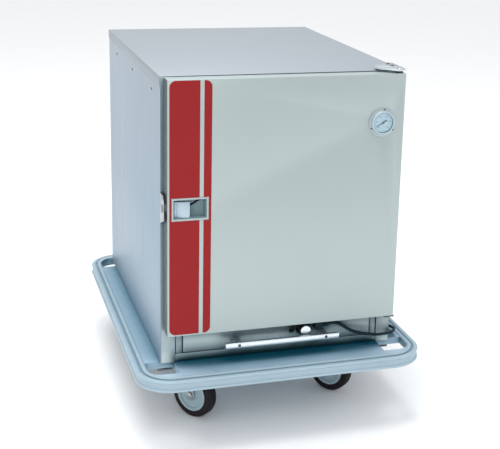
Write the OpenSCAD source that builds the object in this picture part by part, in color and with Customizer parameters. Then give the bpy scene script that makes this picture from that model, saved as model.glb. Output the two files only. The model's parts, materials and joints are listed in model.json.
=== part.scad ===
// Proofing cabinet: an insulated end-loading cabinet with one overlay door, a
// slide-out heat and humidity module below the door, and a bumper deck on casters.
// Millimetres. +Z is up, the door faces -Y, and the origin lies on the floor at
// the centre of the bumper's footprint.

/* [Cabinet] */
// Width of the insulated body
body_w = 622; // [600:1:700]
// Depth of the insulated body, front to back
body_d = 790; // [700:5:900]
// Height of the body above the deck
body_h = 735; // [700:1:900]
// Thickness of the insulated walls
wall_t = 38; // [32:1:45]
// Number of tray levels
tray_levels = 7; // [4:1:8]

/* [Door] */
// Width of the door
door_w = 602; // [600:1:604]
// Height of the door's lower edge above the deck
door_lift = 89; // [86:1:92]
// Thickness of the door
door_t = 38; // [34:1:42]
// Gap between the door's back and the face frame, filled by the gasket
door_gap = 6; // [5:0.5:8]

/* [Base] */
// Height of the deck's top above the floor
deck_z = 197; // [197:1:230]
// Overhang of the bumper past the body's sides
overhang_side = 67; // [60:1:90]
// Overhang of the bumper past the body's front
overhang_front = 113; // [100:1:140]
// Overhang of the bumper past the body's back
overhang_rear = 60; // [60:1:90]
// Thickness of the bumper, seen from above
bumper_t = 17; // [15:1:22]
// Height of the bumper
bumper_h = 30; // [26:1:31]
// Outer radius of the bumper's corners
bumper_r = 90; // [80:5:110]

/* [Casters] */
// Diameter of the wheels
wheel_d = 127; // [120:1:127]
// Width of the tyres
tyre_w = 32; // [28:1:32]
// Horizontal distance from a swivel pin to its wheel's axle
trail = 38; // [30:1:40]
// Angle of the two front casters about their swivel pins
swivel_angle = 38; // [0:1:60]

/* [Heat module] */
// Width of the module's front panel
module_w = 504; // [480:2:510]
// Height of the module's front panel
module_h = 63; // [58:1:63]
// Depth of the module
module_d = 560; // [500:10:600]
// Length of the pull handle's bar
handle_len = 304; // [280:2:320]
// Diameter of the thermostat knob's skirt
knob_d = 40; // [34:1:42]

/* [Cord] */
// Diameter of the supply cord
cord_d = 8; // [7:0.5:9]

/* [Hidden] */
$fn = 48;

sheet = 1.5;                 // sheet metal gauge of the body
clear = 0.3;                 // gap between bodies that slide past each other
running = 0.05;              // radial clearance of a shaft in its hole

// Footprint and main levels
foot_w = body_w + 2 * overhang_side;
foot_d = body_d + overhang_front + overhang_rear;
half_w = body_w / 2;
front_y = overhang_front - foot_d / 2;
back_y = front_y + body_d;
top_z = deck_z + body_h;
inner_x = half_w - wall_t - sheet / 2;
liner_y = front_y + wall_t;
liner_z = deck_z + door_lift + 17;
liner_top = top_z - wall_t;

// Door
door_x0 = -half_w + 10;
door_x1 = door_x0 + door_w;
door_z0 = deck_z + door_lift;
door_z1 = top_z - 2;
door_back = front_y - door_gap;
door_face = door_back - door_t;
pivot = [half_w - 22, front_y - 28];
pin_r = 4;

// Latch, at mid height of the door's free edge
latch = [door_x0 + 56, door_z0 + 327.5];
latch_w = 82;
latch_h = 48;
latch_rim = 4.5;
bolt_z = latch[1];
bolt_y = door_back - 15.5;

// Thermometer, near the door's upper hinge corner
gauge = [door_x1 - 57, door_z1 - 122];
gauge_r = 25;
gauge_screw_r = 33.5;
gauge_screws = [85, 205, 325];

// Heat module
bay_z = deck_z + 22;
module_z = bay_z + 2;
panel_top = module_z + module_h;
bar_z = deck_z + 48;
bar_y = front_y - 40;
standoff_x = handle_len / 2 - 36;
knob = [65, deck_z + 63];
switch = [36, deck_z + 60];
fan = [110, front_y + 190];

// Casters
wheel_r = wheel_d / 2;
hub_r = wheel_r - 18;
axle_r = 6;
kingpin_r = 8;
plate_z = deck_z - 32;
crown_z = plate_z - 11.5;
pin_x = half_w - 86;
front_pin_y = front_y + 115;
rear_pin_y = back_y - 115;
caster_bolt_x = 40;
caster_bolt_y = 26;

// Deck openings: half their size, and the depth of their turned-down walls
opening = 37;
opening_depth = 19;

// Cord: it leaves the gland to the right, sags, rounds the corner post in the air,
// comes down to the deck and runs back along it to the tied hank.
gland = [104, front_y - 14, deck_z + 72];
sleeve = 24;
lie_z = deck_z + cord_d / 2;
hank_r = 3 * cord_d;
hank_x = half_w + 3 + hank_r + cord_d / 2;
hank_y0 = front_y + 155;
hank_run = 150;
hank_levels = 5;
tail_y = hank_y0 + hank_run;
run_x = hank_x - hank_r;
cord_route = [
    [gland[0] + 8 + sleeve, gland[1], gland[2]],
    [148, front_y - 14, deck_z + 71.8],
    [160, front_y - 14, deck_z + 68],
    [172, front_y - 15, deck_z + 61],
    [185, front_y - 17, deck_z + 52.5],
    [198, front_y - 20, deck_z + 46],
    [212, front_y - 23, deck_z + 41.5],
    [226, front_y - 26, deck_z + 38],
    [241, front_y - 27, deck_z + 35.5],
    [257, front_y - 27, deck_z + 32.5],
    [273, front_y - 24, deck_z + 30],
    [289, front_y - 19, deck_z + 28],
    [304, front_y - 12.5, deck_z + 26],
    [317.5, front_y - 4, deck_z + 24.5],
    [328, front_y + 7, deck_z + 23],
    [334.5, front_y + 20, deck_z + 21],
    [337, front_y + 35, deck_z + 18.5],
    [338, front_y + 51, deck_z + 15],
    [337.5, front_y + 67, deck_z + 11],
    [336, front_y + 82, deck_z + 7.5],
    [333, front_y + 97, lie_z + 1],
    [328.5, front_y + 111, lie_z],
    [323.5, front_y + 126, lie_z],
    [319.5, front_y + 141, lie_z],
    [run_x, hank_y0, lie_z]
];
top_run_z = lie_z + (hank_levels - 1) * cord_d;
tail_route = [
    [run_x, tail_y, top_run_z],
    [run_x, tail_y + 14, top_run_z],
    [run_x + 1, tail_y + 30, top_run_z - 3],
    [run_x + 4, tail_y + 46, top_run_z - 9],
    [run_x + 8, tail_y + 62, top_run_z - 17],
    [run_x + 11, tail_y + 78, deck_z + 17],
    [run_x + 13, tail_y + 94, deck_z + 13.5],
    [run_x + 13, tail_y + 106, deck_z + 13]
];
plug_at = tail_route[len(tail_route) - 1];

// ---- Helpers ----

// Box between two limits along each axis
module slab(x, y, z) {
    translate([x[0], y[0], z[0]])
        cube([x[1] - x[0], y[1] - y[0], z[1] - z[0]]);
}

// The same box on both sides of the cabinet
module both_sides() {
    children();
    mirror([1, 0, 0]) children();
}

// Cylinder along Y, from y0 towards -Y
module rod_y(r, y0, length) {
    translate([0, y0, 0])
        rotate([90, 0, 0])
            cylinder(r = r, h = length);
}

// Cylinder along X, centred
module rod_x(r, length) {
    rotate([0, 90, 0])
        cylinder(r = r, h = length, center = true);
}

// Points of an arc, for outlines
function arc(centre, r, a0, a1, n) =
    [for (i = [0:n]) centre + r * [cos(a0 + (a1 - a0) * i / n), sin(a0 + (a1 - a0) * i / n)]];

// Rectangle with rounded corners, centred
module round_rect(w, d, r) {
    square([w - 2 * r, d], center = true);
    square([w, d - 2 * r], center = true);
    for (x = [-1, 1])
        for (y = [-1, 1])
            translate([x * (w / 2 - r), y * (d / 2 - r)])
                circle(r = r);
}

// Sweeps a profile (outward distance, height) round a rounded rectangle
module around(w, d, r) {
    for (side = [0:3]) {
        across = side % 2 == 0 ? w : d;
        out = side % 2 == 0 ? d : w;
        rotate([0, 0, 90 * side]) {
            translate([across / 2 - r, -out / 2 + r, 0])
                rotate([0, 0, -90])
                    rotate_extrude(angle = 90)
                        translate([r, 0])
                            children();
            translate([across / 2 - r, -out / 2, 0])
                rotate([90, 0, -90])
                    linear_extrude(across - 2 * r)
                        children();
        }
    }
}

// Sheet-metal box that is open on the +Y side
module pan_open_back(x, y, z, t) {
    difference() {
        slab(x, y, z);
        slab([x[0] + t, x[1] - t], [y[0] + t, y[1] + 1], [z[0] + t, z[1] - t]);
    }
}

// Pan-head screw whose head stands on a face towards -Y
module screw_y(r) {
    rod_y(r, 0, r * 0.6);
    rod_y(r * 0.5, 5, 5);
}

// Direction of a route at its point i
function unit(v) = v / norm(v);
function along(path, i) =
    unit(path[min(i + 1, len(path) - 1)] - path[max(i - 1, 0)]);

// One ring of points round a route point, square to the route
function ring(p, dir, r, sides) =
    let (u = unit(cross(dir, abs(dir[2]) > 0.9 ? [1, 0, 0] : [0, 0, 1])), v = cross(dir, u))
    [for (k = [0:sides - 1]) p + r * (cos(360 * k / sides) * u + sin(360 * k / sides) * v)];

// Tube swept along a route, closed at both ends
module tube(path, r, sides = 12) {
    n = len(path);
    points = [for (i = [0:n - 1]) each ring(path[i], along(path, i), r, sides)];
    quads = [
        for (i = [0:n - 2])
            for (k = [0:sides - 1])
                [
                    i * sides + k,
                    i * sides + (k + 1) % sides,
                    (i + 1) * sides + (k + 1) % sides,
                    (i + 1) * sides + k
                ]
    ];
    start_cap = [for (k = [sides - 1:-1:0]) k];
    end_cap = [for (k = [0:sides - 1]) (n - 1) * sides + k];
    polyhedron(points = points, faces = concat(quads, [start_cap, end_cap]), convexity = 6);
}

// ---- Cabinet body ----

// Side sheets, with a folded return at the back
module side_panels() {
    color("lightsteelblue")
        both_sides() {
            slab([half_w - 2 * sheet, half_w - sheet], [front_y, back_y], [deck_z, top_z - sheet]);
            slab([half_w - 22, half_w - 2 * sheet], [back_y - sheet, back_y], [deck_z, top_z - sheet]);
        }
}

// Back sheet between the side returns
module back_panel() {
    color("lightsteelblue")
        slab([-half_w + 2 * sheet, half_w - 2 * sheet], [back_y - 2 * sheet, back_y - sheet],
             [deck_z, top_z - sheet]);
}

// Roof sheet, folded down over the sides and the back
module top_panel() {
    flange = 25;
    color("lavender") {
        slab([-half_w, half_w], [front_y, back_y + sheet], [top_z - sheet, top_z]);
        slab([-half_w, half_w], [back_y, back_y + sheet], [top_z - flange, top_z - sheet]);
        both_sides()
            slab([half_w - sheet, half_w], [front_y, back_y], [top_z - flange, top_z - sheet]);
    }
}

// Cavity lining, open at the front, with two air slots in its floor
module inner_liner() {
    color("silver")
        difference() {
            slab([-inner_x - sheet, inner_x + sheet], [liner_y, back_y - wall_t],
                 [liner_z - sheet, liner_top + sheet]);
            slab([-inner_x, inner_x], [liner_y - 1, back_y - wall_t - sheet], [liner_z, liner_top]);
            for (y = [liner_y + 60, back_y - wall_t - 90])
                slab([-150, 150], [y, y + 24], [liner_z - 5, liner_z + 5]);
        }
}

// Slabs between the outer sheets and the lining
module wall_insulation() {
    color("khaki") {
        both_sides()
            slab([inner_x + sheet + 1, half_w - 2 * sheet - 0.5], [front_y + 3, back_y - 4],
                 [deck_z + 3, liner_top]);
        slab([-half_w + 5, half_w - 5], [liner_y + 1, back_y - 4], [liner_top + 2, top_z - 2]);
        slab([-inner_x, inner_x], [back_y - wall_t + 0.5, back_y - 4], [liner_z, liner_top]);
    }
}

// Welded face frame: two posts that reach the deck, a header, a sill and two jamb strips
module front_frame() {
    color("gainsboro") {
        both_sides() {
            slab([inner_x, half_w - 2 * sheet], [front_y, front_y + sheet], [deck_z, top_z - sheet]);
            slab([inner_x, inner_x + sheet], [front_y + sheet, liner_y], [deck_z, top_z - sheet]);
        }
        slab([-inner_x, inner_x], [front_y, front_y + sheet], [liner_top, top_z - sheet]);
        slab([-inner_x, inner_x], [front_y + sheet, liner_y], [liner_top, liner_top + sheet]);
        slab([-inner_x, inner_x], [front_y, front_y + sheet], [panel_top + 2, liner_z]);
        slab([-inner_x, inner_x], [front_y + sheet, liner_y], [liner_z - sheet, liner_z]);
        both_sides()
            slab([inner_x - 18, inner_x - 2], [front_y + sheet, front_y + 2 * sheet],
                 [bay_z + 1, liner_z - sheet]);
    }
}

// Floor sheet of the module bay, held clear of the deck, with a rail across its front
module bottom_pan() {
    color("slategray") {
        slab([-inner_x, inner_x], [front_y + 1, back_y - 4], [deck_z + 8, deck_z + 8 + sheet]);
        slab([-inner_x, inner_x], [front_y + 1, front_y + 1 + sheet], [deck_z + 1, bay_z]);
    }
}

// Angle runners that carry the heat module
module module_runners() {
    ledge_top = module_z + sheet - clear;
    color("silver")
        both_sides() {
            slab([inner_x - 2, inner_x], [front_y + 11, front_y + module_d + 15],
                 [deck_z + 12, panel_top]);
            slab([inner_x - 34, inner_x - 2], [front_y + 11, front_y + module_d + 15],
                 [ledge_top - 2, ledge_top]);
        }
}

// Two uprights and a ladder of tray ledges on each side of the cavity
module tray_slides() {
    pitch = (liner_top - liner_z - 60) / tray_levels;
    color("silver")
        both_sides() {
            for (y = [liner_y + 40, back_y - wall_t - 100])
                slab([inner_x - 9.9, inner_x], [y, y + 22], [liner_z + 12, liner_top - 10]);
            for (i = [0:tray_levels - 1])
                translate([0, 0, liner_z + 40 + i * pitch]) {
                    slab([inner_x - 57, inner_x - 10], [liner_y + 15, back_y - wall_t - 60], [0, 2]);
                    slab([inner_x - 12, inner_x - 10], [liner_y + 15, back_y - wall_t - 60], [-16, 0]);
                }
        }
}

// Dome rivets below the roof's fold
module side_rivets() {
    color("dimgray")
        both_sides()
            for (y = [107, 381, 643])
                translate([half_w - sheet, front_y + y, top_z - 50])
                    rotate([0, 90, 0]) {
                        cylinder(r1 = 4, r2 = 2.5, h = 1.5);
                        translate([0, 0, -2.5]) cylinder(r = 1.6, h = 2.5);
                    }
}

// ---- Deck, bumper and fixed caster parts ----

// Outline of a corner opening, its outer corner rounded, grown by some amount all round
module opening_outline(grow) {
    half = opening + grow;
    r = 32 + grow;
    polygon(concat([[-half, half], [-half, -half], [half, -half]],
                   arc([half - r, half - r], r, 0, 90, 8)));
}

// Places its children on the deck's four corner openings
module opening_places() {
    both_sides() {
        translate([half_w, front_y - 25, deck_z]) mirror([0, 1, 0]) children();
        translate([half_w, back_y - 15, deck_z]) children();
    }
}

// Pressed deck with a turned-down rim and four corner openings with walls of their own
module deck_pan() {
    w = foot_w - 2 * bumper_t - 1;
    d = foot_d - 2 * bumper_t - 1;
    r = bumper_r - bumper_t;
    color("lightsteelblue")
        difference() {
            union() {
                difference() {
                    translate([0, 0, deck_z - 26])
                        linear_extrude(26)
                            round_rect(w, d, r);
                    translate([0, 0, deck_z - 27])
                        linear_extrude(24)
                            round_rect(w - 5, d - 5, r - 2.5);
                }
                opening_places()
                    translate([0, 0, -opening_depth])
                        linear_extrude(opening_depth)
                            opening_outline(1.5);
            }
            opening_places()
                translate([0, 0, -opening_depth - 5])
                    linear_extrude(opening_depth + 10)
                        opening_outline(0);
        }
}

// Welded frame below the deck: side runners between the openings, two caster
// cross-members, and outriggers that carry the deck's ends
module base_frame() {
    y_end = foot_d / 2 - bumper_t - 10;
    color("gray") {
        both_sides() {
            slab([half_w - 6, half_w + 3], [front_y + 14, back_y - 54], [deck_z - 26, deck_z - 3]);
            slab([half_w - 36, half_w - 6], [front_y + 14, back_y - 55], [deck_z - 26, deck_z - 22]);
            slab([half_w - 60, half_w - 51], [-y_end, front_pin_y - 41], [deck_z - 26, deck_z - 3]);
            slab([half_w - 60, half_w - 51], [rear_pin_y + 41, y_end], [deck_z - 26, deck_z - 3]);
        }
        for (y = [front_pin_y, rear_pin_y])
            difference() {
                slab([-half_w + 6, half_w - 6], [y - 45, y + 45], [plate_z, deck_z - 3]);
                slab([-half_w - 1, half_w + 1], [y - 41, y + 41], [plate_z + 4, deck_z - 2]);
                for (side = [-1, 1])
                    translate([side * pin_x, y, 0])
                        bolt_places()
                            translate([0, 0, plate_z - 1]) cylinder(r = 4.3, h = 6);
            }
    }
}

// Extruded bumper with a rounded outer edge, in a ring round the deck
module bumper() {
    profile = concat(
        [[-bumper_t, 0]],
        arc([-7, 7], 7, -90, 0, 8),
        arc([-9, bumper_h - 10], 9, 0, 90, 10),
        [[-bumper_t + 2.5, bumper_h - 1], [-bumper_t + 2.5, bumper_h - 4], [-bumper_t, bumper_h - 4]]
    );
    color("lightsteelblue")
        translate([0, 0, deck_z - bumper_h])
            around(foot_w, foot_d, bumper_r)
                polygon(profile);
}

// Places its children on a caster's four bolt holes
module bolt_places() {
    for (x = [-1, 1])
        for (y = [-1, 1])
            translate([x * caster_bolt_x, y * caster_bolt_y, 0])
                children();
}

// Top plate shared by all casters, with its four holes
module caster_plate() {
    difference() {
        slab([-50, 50], [-36, 36], [plate_z - 3, plate_z]);
        bolt_places()
            translate([0, 0, plate_z - 4]) cylinder(r = 4.3, h = 5);
    }
}

// Front top plates, each with its ball race and kingpin
module caster_plates() {
    color("silver")
        for (side = [-1, 1])
            translate([side * pin_x, front_pin_y, 0]) {
                caster_plate();
                translate([0, 0, plate_z - 11]) cylinder(r = 30, h = 8);
                translate([0, 0, plate_z - 20]) cylinder(r = kingpin_r, h = 10);
                translate([0, 0, plate_z - 22.5]) cylinder(r = 13, h = 4.5);
            }
}

// Fork cheek seen along X: a tapered plate from the crown down round the axle
module fork_cheek(x, lean) {
    translate([x, 0, 0])
        rotate([90, 0, 90])
            linear_extrude(3)
                difference() {
                    polygon(concat([[24, crown_z], [-24, crown_z]],
                                   arc([-lean, wheel_r], 15, 165, 375, 20)));
                    translate([-lean, wheel_r]) circle(r = axle_r);
                }
}

// Axle with its two heads, in the fork
module fork_axle(lean) {
    translate([0, -lean, wheel_r]) {
        rod_x(axle_r, 42);
        for (side = [-1, 1])
            translate([side * 23, 0, 0]) rod_x(10, 4);
    }
}

// Rigid rear casters: plate, riser, two cheeks and the axle
module rear_caster_forks() {
    color("silver")
        for (side = [-1, 1])
            translate([side * pin_x, rear_pin_y, 0]) {
                caster_plate();
                slab([-21, 21], [-24, 24], [crown_z - 4, plate_z - 3]);
                fork_cheek(18, 0);
                fork_cheek(-21, 0);
                fork_axle(0);
            }
}

// Hex bolts through the caster plates into the cross-members
module caster_bolts() {
    color("darkgray")
        for (y = [front_pin_y, rear_pin_y])
            for (side = [-1, 1])
                translate([side * pin_x, y, 0])
                    bolt_places() {
                        translate([0, 0, plate_z - 8]) cylinder(r = 7, h = 5, $fn = 6);
                        translate([0, 0, plate_z - 3]) cylinder(r = 4, h = 9);
                        translate([0, 0, plate_z + 4]) cylinder(r = 7, h = 5, $fn = 6);
                    }
}

// ---- Hinge and strike hardware on the body ----

// Keeper on the left post, with a tapered blade that takes the latch bolt
module strike_bracket() {
    x = -half_w + 1.5;
    z0 = bolt_z - 43;
    z1 = bolt_z + 33;
    color("lightgray") {
        slab([x, x + 16], [front_y - 2.5, front_y], [z0, z1]);
        difference() {
            translate([x, 0, 0])
                rotate([90, 0, 90])
                    linear_extrude(3)
                        polygon([
                            [front_y - 2.5, z0],
                            [front_y - 36, z0 + 14],
                            [front_y - 36, z1 - 18],
                            [front_y - 24, z1],
                            [front_y - 2.5, z1]
                        ]);
            slab([x - 1, x + 4], [bolt_y - 7, bolt_y + 7], [bolt_z - 10, bolt_z + 10]);
        }
    }
}

// Upper plate on the roof and lower angle on the post, each with its pivot pin
module hinge_brackets() {
    upper_z = top_z + 4;
    lower_z = door_z0 - 6;
    color("lightgray") {
        difference() {
            translate([0, 0, upper_z])
                linear_extrude(4)
                    polygon([
                        [half_w - 74, front_y + 16],
                        [half_w - 70, front_y - 8],
                        [half_w - 32, front_y - 38],
                        [half_w - 12, front_y - 38],
                        [half_w - 6, front_y - 30],
                        [half_w - 6, front_y + 58],
                        [half_w - 22, front_y + 66]
                    ]);
            translate([half_w - 60, front_y + 4, upper_z - 1])
                rotate([0, 0, -35])
                    linear_extrude(6)
                        polygon(concat(arc([0, 0], 3, 90, 270, 12), arc([31, 0], 3, -90, 90, 12)));
        }
        slab([half_w - 40, half_w - 8], [front_y + 6, front_y + 54], [top_z, upper_z]);
        translate([pivot[0], pivot[1], door_z1 - 18]) cylinder(r = pin_r, h = upper_z - door_z1 + 18);
        translate([pivot[0], pivot[1], upper_z + 4]) cylinder(r = 7, h = 2.5);

        slab([half_w - 32, half_w - 5], [front_y - 38, front_y], [lower_z, lower_z + 3]);
        slab([half_w - 16, half_w - 5], [front_y - 2, front_y], [lower_z, lower_z + 60]);
        translate([pivot[0], pivot[1], lower_z + 3]) cylinder(r = pin_r, h = 21);
        translate([pivot[0], pivot[1], lower_z - 2.5]) cylinder(r = 7, h = 2.5);
    }
}

// Screws of the strike, the upper hinge plate and the lower hinge angle
module cabinet_screws() {
    color("dimgray") {
        for (z = [-31, 21])
            translate([-half_w + 11, front_y - 2.5, bolt_z + z]) screw_y(3);
        for (y = [16, 44])
            translate([half_w - 24, front_y + y, top_z + 8]) {
                cylinder(r = 5, h = 2.5);
                translate([0, 0, -9]) cylinder(r = 2.5, h = 9);
            }
        for (z = [20, 44])
            translate([half_w - 10.5, front_y - 2, door_z0 - 6 + z]) screw_y(2.6);
    }
}

// ---- Door ----

// Holes through the door for the latch pocket and the gauge
module door_cuts(extra) {
    slab([latch[0] - latch_w / 2 - extra, latch[0] + latch_w / 2 + extra],
         [door_face - 1, door_face + 31], [latch[1] - latch_h / 2 - extra, latch[1] + latch_h / 2 + extra]);
    translate([gauge[0], 0, gauge[1]]) rod_y(gauge_r + 4 + extra, door_face + 27, 40);
}

// Passage of the latch bolt through the door's free edge
module bolt_passage(extra) {
    slab([door_x0 - 5, door_x0 + 20], [bolt_y - 5 - extra, bolt_y + 5 + extra],
         [bolt_z - 8 - extra, bolt_z + 8 + extra]);
}

// Outer sheet of the door, folded round its four edges
module door_skin() {
    color("silver")
        difference() {
            pan_open_back([door_x0, door_x1], [door_face, door_back - sheet], [door_z0, door_z1], sheet);
            door_cuts(0.2);
            bolt_passage(0.5);
            for (z = [door_z0 - 1, door_z1 - 4])
                translate([pivot[0], pivot[1], z]) cylinder(r = 7.2, h = 5);
        }
}

// Inner sheet of the door, with a hole for the gauge's stem
module door_liner() {
    color("silver")
        difference() {
            slab([door_x0, door_x1], [door_back - sheet, door_back], [door_z0, door_z1]);
            translate([gauge[0], 0, gauge[1]]) rod_y(3.5, door_back + 1, 5);
        }
}

// Slab inside the door, hollowed for the latch, the gauge and the bushes
module door_insulation() {
    color("khaki")
        difference() {
            slab([door_x0 + 2, door_x1 - 2], [door_face + 2, door_back - 2], [door_z0 + 2, door_z1 - 2]);
            door_cuts(1);
            bolt_passage(1.5);
            slab([door_x0 + 1, latch[0]], [bolt_y - 8, bolt_y + 8], [bolt_z - 10, bolt_z + 10]);
            for (z = [door_z0 + 1, door_z1 - 23])
                translate([pivot[0], pivot[1], z]) cylinder(r = 8, h = 22);
            translate([gauge[0], 0, gauge[1]]) rod_y(3.5, door_back + 1, 20);
        }
}

// Soft seal on the door's back, pressed on the face frame
module door_gasket() {
    x = [door_x0 + 12, door_x1 - 14];
    z = [door_z0 + 14, door_z1 - 10];
    color("darkslategray")
        difference() {
            slab(x, [door_back, front_y - clear], z);
            slab([x[0] + 10, x[1] - 10], [door_back - 1, front_y + 1], [z[0] + 10, z[1] - 10]);
        }
}

// One stripe of the decal, with rounded corners on its outer side
module stripe(x0, x1, round_left) {
    r = 16;
    z = [door_z0 + 4, door_z1 - 2];
    translate([0, door_face, 0])
        rotate([90, 0, 0])
            linear_extrude(0.4)
                polygon(round_left
                    ? concat([[x1, z[0]], [x1, z[1]]], arc([x0 + r, z[1] - r], r, 90, 180, 10),
                             arc([x0 + r, z[0] + r], r, 180, 270, 10))
                    : concat([[x0, z[1]], [x0, z[0]]], arc([x1 - r, z[0] + r], r, -90, 0, 10),
                             arc([x1 - r, z[1] - r], r, 0, 90, 10)));
}

// Wide and narrow coloured stripes down the door's free side
module door_decal() {
    color("firebrick")
        difference() {
            union() {
                stripe(door_x0 + 5, door_x0 + 79, true);
                stripe(door_x0 + 89, door_x0 + 108, false);
            }
            slab([latch[0] - latch_w / 2 - 5, latch[0] + latch_w / 2 + 5], [door_face - 2, door_face + 1],
                 [latch[1] - latch_h / 2 - 5, latch[1] + latch_h / 2 + 5]);
        }
}

// Flanged bushes that turn on the hinge pins
module door_bushings() {
    color("dimgray")
        for (end = [0, 1])
            translate([pivot[0], pivot[1], end == 0 ? door_z0 : door_z1])
                mirror([0, 0, end])
                    difference() {
                        union() {
                            translate([0, 0, -2]) cylinder(r = 9, h = 2);
                            cylinder(r = 7, h = 20);
                        }
                        translate([0, 0, -3]) cylinder(r = pin_r + running, h = 30);
                    }
}

// Recessed pocket with a raised rim; the paddle fills its left half
module latch_housing() {
    w = latch_w / 2;
    h = latch_h / 2;
    color("lightgray")
        difference() {
            union() {
                slab([latch[0] - w - latch_rim, latch[0] + w + latch_rim], [door_face - 2, door_face],
                     [latch[1] - h - latch_rim, latch[1] + h + latch_rim]);
                slab([latch[0] - w, latch[0] + w], [door_face, door_face + 30],
                     [latch[1] - h, latch[1] + h]);
            }
            slab([latch[0] - w + 2, latch[0] + w - 2], [door_face - 3, door_face + 28],
                 [latch[1] - h + 2, latch[1] + h - 2]);
            slab([latch[0] - w - 1, latch[0] - w + 3], [bolt_y - 5.3, bolt_y + 5.3],
                 [bolt_z - 8.3, bolt_z + 8.3]);
        }
}

// Pull paddle: a curved plate on an upright pivot at the pocket's left edge
module latch_paddle() {
    h = latch_h - 9;
    color("whitesmoke")
        translate([latch[0] - latch_w / 2 + 6, door_face + 11, latch[1] - latch_h / 2 + 2.5]) {
            cylinder(r = 3.2, h = h);
            linear_extrude(h)
                polygon(concat(arc([26, 36], 45, -128, -79, 14), arc([26, 36], 42.5, -79, -128, 14)));
        }
}

// Spring-loaded bar that leaves the door's free edge
module latch_bolt() {
    color("silver")
        slab([door_x0 + 0.4, latch[0] - latch_w / 2 + 14], [bolt_y - 5, bolt_y + 5],
             [bolt_z - 8, bolt_z + 8]);
}

// ---- Thermometer ----

// Flange, bezel, cup and stem, turned about the gauge's axis
module thermometer_case() {
    outline = [
        [0, -26], [gauge_r + 3.5, -26], [gauge_r + 3.5, 0], [37, 0], [37, 1.5], [gauge_r + 6, 2.2],
        [gauge_r + 5, 7], [gauge_r + 3, 8.5], [gauge_r + 1, 8.5], [gauge_r + 0.5, 7],
        [gauge_r + 0.5, 1], [0, 1]
    ];
    color("gainsboro")
        translate([gauge[0], door_face, gauge[1]])
            rotate([90, 0, 0])
                difference() {
                    union() {
                        rotate_extrude() polygon(outline);
                        translate([0, 0, -58]) cylinder(r = 3, h = 33);
                        cylinder(r = 1.2, h = 3);
                    }
                    for (a = gauge_screws)
                        rotate([0, 0, a]) translate([gauge_screw_r, 0, -1]) cylinder(r = 1.4, h = 5);
                }
}

// Printed disc with a hole for the pointer's pin
module thermometer_dial() {
    color("aliceblue")
        translate([gauge[0], 0, gauge[1]])
            difference() {
                rod_y(gauge_r, door_face - 1, 0.8);
                rod_y(1.6, door_face, 4);
            }
}

// Needle and hub, at rest towards the lower left
module thermometer_pointer() {
    color("black")
        translate([gauge[0], door_face - 2.1, gauge[1]])
            rotate([90, 0, 0])
                rotate([0, 0, 210])
                    difference() {
                        union() {
                            linear_extrude(0.8)
                                polygon([[-11, -2.2], [-11, 2.2], [0, 1.4], [20, 0.5],
                                         [20, -0.5], [0, -1.4]]);
                            cylinder(r = 3, h = 2.4);
                        }
                        translate([0, 0, -1]) cylinder(r = 1.2 + running, h = 2.2);
                    }
}

// Flat clear window held by the bezel
module thermometer_lens() {
    color("lightcyan")
        translate([gauge[0], 0, gauge[1]])
            rod_y(gauge_r + 0.5, door_face - 6, 1);
}

// Three screws through the flange
module thermometer_screws() {
    color("dimgray")
        for (a = gauge_screws)
            translate([gauge[0] + gauge_screw_r * cos(a), door_face - 1.5,
                       gauge[1] + gauge_screw_r * sin(a)])
                rotate([90, 0, 0]) {
                    cylinder(r = 2.4, h = 1.4);
                    translate([0, 0, -1.5]) cylinder(r = 1.4, h = 1.5);
                }
}

// ---- Heat module ----

// Front panel with folded edges and holes for the controls
module module_panel() {
    half = module_w / 2;
    color("lightgray")
        difference() {
            union() {
                slab([-half, half], [front_y, front_y + sheet], [module_z, panel_top]);
                for (z = [module_z, panel_top - sheet])
                    slab([-half, half], [front_y + sheet, front_y + 10], [z, z + sheet]);
            }
            translate([knob[0], 0, knob[1]]) rod_y(5, front_y + 3, 6);
            slab([switch[0] - 6.5, switch[0] + 6.5], [front_y - 1, front_y + 3],
                 [switch[1] - 10.5, switch[1] + 10.5]);
        }
}

// Open tray that carries the module's working parts
module module_chassis() {
    half = module_w / 2 - 2;
    y = [front_y + 10, front_y + module_d];
    color("silver")
        difference() {
            slab([-half, half], y, [module_z + sheet, panel_top - 6]);
            slab([-half + sheet, half - sheet], [y[0] + sheet, y[1] - sheet],
                 [module_z + 2 * sheet, panel_top]);
            slab([knob[0] - 28, knob[0] + 28], [y[0] - 1, y[0] + 3], [module_z + 5, panel_top]);
            slab([switch[0] - 10, switch[0] + 10], [y[0] - 1, y[0] + 3], [module_z + 5, panel_top]);
        }
}

// Humidity pan, open at the top
module water_pan() {
    z0 = module_z + 2 * sheet;
    color("silver")
        difference() {
            slab([-220, -40], [front_y + 90, front_y + 450], [z0, z0 + 48]);
            slab([-218.5, -41.5], [front_y + 91.5, front_y + 448.5], [z0 + sheet, z0 + 49]);
        }
}

// Sheathed element: two straight runs joined by a half turn, on two feet
module heating_element() {
    z = module_z + 28;
    y0 = front_y + 330;
    y1 = front_y + 500;
    color("dimgray") {
        for (x = [70, 170])
            translate([x, y0, z]) rotate([-90, 0, 0]) cylinder(r = 4, h = y1 - y0);
        translate([120, y1, z])
            rotate_extrude(angle = 180)
                translate([50, 0]) circle(r = 4);
        for (x = [70, 170])
            slab([x - 6, x + 6], [y0 + 20, y0 + 26], [module_z + 2 * sheet, z - 3.9]);
    }
}

// Flat motor and shaft of the circulation fan
module fan_motor() {
    z0 = module_z + 2 * sheet;
    color("gray")
        translate([fan[0], fan[1], z0]) {
            cylinder(r = 34, h = 20);
            cylinder(r = 4, h = 46);
        }
}

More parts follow.
